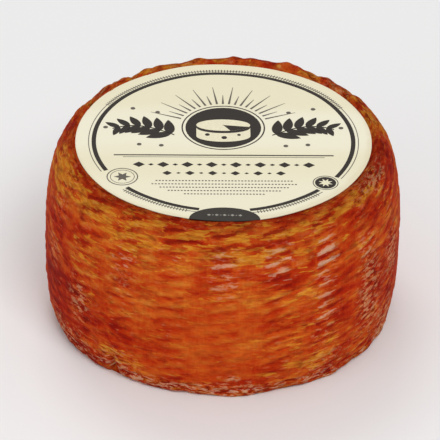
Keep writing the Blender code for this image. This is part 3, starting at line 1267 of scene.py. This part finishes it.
# The rind's tones, linear, from the darkest creases to the palest orange, each with its place on the ramp
RIND_TONES = (
    (0.00, (0.265, 0.008, 0.003)),
    (0.14, (0.385, 0.016, 0.003)),
    (0.28, (0.460, 0.033, 0.004)),
    (0.42, (0.510, 0.062, 0.007)),
    (0.56, (0.545, 0.100, 0.011)),
    (0.70, (0.570, 0.154, 0.019)),
    (0.84, (0.590, 0.214, 0.034)),
    (1.00, (0.620, 0.292, 0.070)),
)
MIDDLE_TONE = 0.455
AMBER_SHARE = 0.12
CRIMSON_SHARE = 0.26

# What lies over the ground colour
GOLD = (0.640, 0.250, 0.020)
DEEP_GOLD = (0.550, 0.157, 0.013)
DARK_BROWN = (0.170, 0.010, 0.004)
DARK_CRIMSON = (0.290, 0.012, 0.004)
LIGHT_ORANGE = (0.600, 0.260, 0.110)
PALE_TAN = (0.620, 0.340, 0.220)
CRUMB_TAN = (0.580, 0.275, 0.130)
FOOT_PALE = (0.640, 0.365, 0.235)

# The rind's noises, as (size round the side, size down it, detail, roughness, distortion, shift)
MOTTLE = (0.0180, 0.0120, 3.0, 0.55, 0.0, 0.0)
WASHES = (0.0100, 0.0038, 3.0, 0.55, 0.5, 6.3)
RIDGES = (0.0080, 0.0015, 2.0, 0.50, 0.5, 3.7)
STROKES = (0.0060, 0.0013, 2.0, 0.50, 0.5, 0.0)
CURLS = (0.0030, 0.0015, 2.0, 0.55, 0.6, 8.1)
CRUMBS = (0.0044, 0.0016, 3.0, 0.60, 0.2, 4.4)
TICKS = (0.0011, 0.0060, 2.0, 0.50, 0.0, 5.2)
SPOTS = (0.0034, 0.0020, 3.0, 0.60, 0.3, 1.9)
HAZES = (0.0075, 0.0026, 2.0, 0.55, 0.4, 11.3)

# The short strokes: what they are mixed of, and how far below a pale one its shadow falls
STROKE_SHARE = 0.78
CURL_SHARE = 0.50
ON_BARS_SHARE = 0.26
SHADOW_DROP = 0.0010

# How strongly the side is darkened by the shade painted along the label's edge, by broad patches and by
# spots, how far hazes of brown cover it, and what lifts it all to the photograph's brightness
LABEL_SHADE = 0.42
BROAD_SHADE = 0.42
SPOT_SHADE = 0.28
HAZE_SHADE = 0.62
LIFTED = 1.050


def rind_finish(grain_group):
    made, net, shader = new_finish("washed_rind_finish", 0.75, 0.02)
    wrap = net.attribute("wrap", "Vector")
    names = ("bars", "each_bar", "troughs", "smooth_bands", "lively", "lines", "hollows", "ledges")
    bars, each_bar, troughs, smooth_bands, lively, lines, hollows, ledges = map(net.attribute, names)
    names = ("bloom", "crimson", "amber", "crumbly", "label_edge_shade", "foot")
    bloom, crimson, amber, crumbly, label_edge_shade, foot = map(net.attribute, names)

    def noises(place, *kinds):
        results = []
        for across, down, *character in kinds:
            results.append(net.grained(place, (across, across, down), *character))
        return results

    mottle, washes, ridges, ticks, spots, hazes = noises(wrap, MOTTLE, WASHES, RIDGES, TICKS, SPOTS, HAZES)
    strokes, curls, crumbs = noises(wrap, STROKES, CURLS, CRUMBS)
    above = net.add("VectorMath", {0: wrap, 1: (0.0, 0.0, SHADOW_DROP)}, operation="SUBTRACT")
    strokes_above, curls_above, crumbs_above = noises(above.outputs["Vector"], STROKES, CURLS, CRUMBS)
    grain_height, grain_shade = net.grain(grain_group, wrap, 0.0007, 0.10)

    # The ground colour, from dark crimson over orange to amber
    # Lighter on the bars' crests and darker in their troughs, here and below: painted light and shade
    weave = washes.centred(1.08) + each_bar * 0.08 + bars * 0.10 - troughs * 0.20
    broad = mottle.centred(0.70) + amber * AMBER_SHARE - crimson * CRIMSON_SHARE
    gaps = curls.centred(1.30) * foot + foot * 0.05 - bloom * troughs * 0.14
    # Painted shade in the crease above the foot, in the pits and along the label's edge, with the fine ticks
    ticks_and_hollow_shade = ticks.centred(0.25) * smooth_bands - label_edge_shade * 0.05 - hollows * 0.35
    tone = net.sums("ADD", weave * lively + broad + gaps + ticks_and_hollow_shade, MIDDLE_TONE, clamp=True)
    ramp = net.add("ValToRGB", {"Fac": tone})
    steps = ramp.color_ramp.elements
    while len(steps) < len(RIND_TONES):
        steps.new(0.5)
    for place, (share, colour) in zip(steps, RIND_TONES):
        place.position = share
        place.color = (*colour, 1.0)
    colour = ramp.outputs["Color"]

    # Golden level ridges with crisp edges, close together where the amber lies
    gold_way = ridges.centred(1.35) + washes.centred(0.35) + lines * 0.030 + ledges * 0.12
    gold_way = gold_way + amber * 0.25 - crimson * 0.12 - troughs * 0.10
    gold_colour = net.mix(strokes.step(0.42, 0.60), DEEP_GOLD, GOLD)
    colour = net.mix(gold_way.step(0.172, 0.242, 0.88) * lively, colour, gold_colour)

    # Short level strokes over it, most of them on the bars: dark ones in the creases, painted shade, then
    # pale ones on the ridges, partly bloom and partly painted light, each with a painted shadow under it
    busy = (smooth_bands * -0.60 + 1.0) * lively
    flecks = strokes.centred(STROKE_SHARE) + curls.centred(CURL_SHARE) + lines * 0.030
    dark_way = troughs * 0.10 + label_edge_shade * 0.10 + crimson * 0.02 - ledges * 0.13 - flecks
    dark_colour = net.mix(crimson + foot + label_edge_shade, DARK_CRIMSON, DARK_BROWN)
    colour = net.mix(dark_way.step(0.10, 0.24, 0.70) * busy, colour, dark_colour)
    on_bars = bloom * (bars * 1.15 + 0.06)
    pale_way = flecks + on_bars * ON_BARS_SHARE - crimson * 0.03 - troughs * 0.06
    pale_most = net.sums("MULTIPLY_ADD", on_bars, 0.60, 0.34, clamp=True)
    pale = pale_way.step(0.06, 0.20) * pale_most * busy
    under = strokes_above.centred(STROKE_SHARE) + curls_above.centred(CURL_SHARE)
    under = under + on_bars * ON_BARS_SHARE - pale_way
    colour = net.mix(under.step(0.10, 0.34, 0.55) * busy, colour, DARK_CRIMSON)
    colour = net.mix(pale, colour, net.mix(bloom.step(0.05, 0.45), LIGHT_ORANGE, PALE_TAN))

    # Small crumbs of pale bloom with dark pits between them, where the rind is crumbly and along the foot
    crumb_share = net.sums("ADD", foot * mottle.step(0.40, 0.60), crumbly, clamp=True)
    crumbling = crumbs.centred(0.85) + curls.centred(0.45)
    # The dark in the pits between the crumbs is painted shade
    pits = (crumb_share * 0.05 - crumbling).step(0.08, 0.18, 0.80)
    colour = net.mix(pits * crumb_share, colour, DARK_BROWN)
    # A painted shadow under each crumb
    crumb_shadows = (crumbs_above - crumbs).step(0.08, 0.26, 0.55)
    colour = net.mix(crumb_shadows * crumb_share, colour, DARK_BROWN)
    crumb_pale = (crumbling + crumb_share * 0.09).step(0.08, 0.18, 0.76)
    colour = net.mix(crumb_pale * crumb_share, colour, net.mix(foot, CRUMB_TAN, FOOT_PALE))

    # Hazes of brown and the shades of the whole side, with painted shade along the label's edge and over the
    # crimson patches, and the foot a little darker
    colour = net.mix(hazes.step(0.56, 0.22, HAZE_SHADE) * lively, colour, DARK_BROWN)
    shade = mottle.centred(BROAD_SHADE) + spots.centred(SPOT_SHADE)
    shade = shade - label_edge_shade * LABEL_SHADE - foot * 0.08 - crimson * 0.06 + LIFTED
    net.feed(shader.inputs["Base Color"], net.shaded(net.shaded(colour, grain_shade), shade))
    net.feed(shader.inputs["Roughness"], pale * 0.12 + spots.centred(0.25) + 0.66)
    height = strokes + ridges * 0.8 + curls * 0.7 + crumbs * crumb_share * 1.2 + grain_height * 0.35
    net.bump(shader, height, 0.70, 0.0006)
    return made


# The paper is lighter in a band across its middle and towards the front, and stained along its edge. Each
# fade is (where it starts, where it is full, how strong it is).
PAPER_CREAM = (0.845, 0.785, 0.572)
PAPER_LIGHT = (0.895, 0.852, 0.675)
PAPER_STAIN = (0.700, 0.600, 0.380)
BAND_MIDDLE = 0.008
BAND_WANDER = 0.012
BAND_WANDER_SIZE = (0.030, 0.012, 0.030)
BAND_FADE = (0.034, 0.016, 0.85)
FRONT_FADE = (-0.028, -0.046, 0.50)
STAIN_WANDER = 0.004
STAIN_SIZE = (0.008, 0.008, 0.008)
STAIN_FADE = (0.0735, 0.0765, 0.35)


def paper_finish(grain_group):
    made, net, shader = new_finish("label_paper_finish", 0.55, 0.15)
    place = net.add("TexCoord", {}).outputs["Object"]
    parts = net.add("SeparateXYZ", {"Vector": place}).outputs
    y = Value(net, parts["Y"])
    wander = net.grained(place, BAND_WANDER_SIZE, 2.0) * BAND_WANDER
    away = wander + net.sums("ABSOLUTE", y - BAND_MIDDLE)
    light = net.sums("ADD", away.step(*BAND_FADE), y.step(*FRONT_FADE), clamp=True)
    colour = net.mix(light, PAPER_CREAM, PAPER_LIGHT)
    flat = net.add("CombineXYZ", {"X": parts["X"], "Y": parts["Y"]}).outputs["Vector"]
    reach = net.add("VectorMath", {0: flat}, operation="LENGTH").outputs["Value"]
    blot = net.grained(place, STAIN_SIZE, 3.0, 0.6, 0.0, 2.2)
    colour = net.mix((blot * STAIN_WANDER + reach).step(*STAIN_FADE), colour, PAPER_STAIN)
    grain_height, grain_shade = net.grain(grain_group, place, 0.0005, 0.05)
    net.feed(shader.inputs["Base Color"], net.shaded(colour, grain_shade))
    net.bump(shader, grain_height, 0.12, 0.0001)
    return made


# The inks, as (name, colour, roughness)
INKS = (
    ("charcoal_ink", (0.036, 0.029, 0.024), 0.50),
    ("fine_ink", (0.130, 0.115, 0.095), 0.50),
    ("tab_ink", (0.042, 0.036, 0.030), 0.45),
    ("pale_tab_ink", (0.330, 0.310, 0.270), 0.50),
    ("paper_tint", PAPER_CREAM, 0.55),
)


def ink_finish(grain_group, name, colour, roughness):
    made, net, shader = new_finish(name, roughness, 0.12)
    place = net.add("TexCoord", {}).outputs["Object"]
    grain_height, grain_shade = net.grain(grain_group, place, 0.0009, 0.35)
    net.feed(shader.inputs["Base Color"], net.shaded(colour, grain_shade))
    net.bump(shader, grain_height, 0.10, 0.0001)
    return made


# The stage, the light and the camera, which is moved aside and down so that the wheel stands in the picture
# where it stands in the photograph
CAMERA_RISE = math.radians(33.08)
CAMERA_ROLL = -0.0035
CAMERA_DISTANCE = 2.0
LENS = 323.6
SENSOR = 36.0
AIM = (MOVE[0], MOVE[1], 0.0488)
ASIDE = 0.00177
BELOW = 0.00037
FLOOR_SIZE = 12.0
FLOOR_COLOUR = (0.90, 0.90, 0.90, 1.0)
ROOM_LIGHT = 0.50

# Soft square lights, as (name, place, size, power), which all face this point of the wheel
LIGHTS = (
    ("key_light", (0.6, -1.35, 1.9), 1.0, 21.0),
    ("fill_light", (-1.5, -1.3, 0.9), 1.2, 5.5),
    ("back_light", (-0.3, 1.3, 1.9), 1.0, 10.0),
)
LIT_POINT = (0.0, 0.0, 0.05)


def make_stage():
    deselect()
    bpy.ops.mesh.primitive_plane_add(size=FLOOR_SIZE, location=(0.0, 0.0, 0.0))
    floor = bpy.context.object
    floor.name = "floor"
    made, _, shader = new_finish("pale_floor", 0.9, 0.1)
    shader.inputs["Base Color"].default_value = FLOOR_COLOUR
    floor.data.materials.append(made)


def make_light():
    world = bpy.data.worlds.new("pale_room")
    bpy.context.scene.world = world
    world.use_nodes = True
    background = world.node_tree.nodes["Background"]
    background.inputs["Color"].default_value = (1.0, 1.0, 1.0, 1.0)
    background.inputs["Strength"].default_value = ROOM_LIGHT
    for name, place, size, power in LIGHTS:
        deselect()
        turned = (Vector(LIT_POINT) - Vector(place)).to_track_quat("-Z", "Y").to_euler()
        bpy.ops.object.light_add(type="AREA", location=place, rotation=turned)
        light = bpy.context.object
        light.name = name
        light.data.size = size
        light.data.energy = power
    bpy.context.scene.view_settings.view_transform = "Standard"


def make_camera():
    deselect()
    back = Vector((0.0, -math.cos(CAMERA_RISE), math.sin(CAMERA_RISE)))
    upward = Vector((0.0, math.sin(CAMERA_RISE), math.cos(CAMERA_RISE)))
    place = Vector(AIM) + back * CAMERA_DISTANCE - Vector((ASIDE, 0.0, 0.0)) - upward * BELOW
    bpy.ops.object.camera_add(location=place)
    camera = bpy.context.object
    camera.name = "camera"
    level = (-back).to_track_quat("-Z", "Y").to_matrix().to_4x4()
    turned = level @ Matrix.Rotation(CAMERA_ROLL, 4, "Z")
    camera.rotation_euler = turned.to_euler()
    camera.data.lens = LENS
    camera.data.sensor_width = SENSOR
    camera.data.clip_end = 50.0
    bpy.context.scene.camera = camera


def main():
    grain_group = fine_grain_group()
    paper = paper_finish(grain_group)
    ink, fine_ink, tab_ink, pale_ink, paper_ink = (ink_finish(grain_group, *kind) for kind in INKS)
    make_wheel(rind_finish(grain_group))
    make_label(paper)
    make_rings(ink, fine_ink)
    make_tab(tab_ink, pale_ink)
    make_seals(ink, fine_ink, paper_ink)
    make_emblem(ink, fine_ink, paper_ink)
    make_branches(ink, fine_ink)
    make_rules(ink, fine_ink)
    make_stage()
    make_light()
    make_camera()
    deselect()


main()
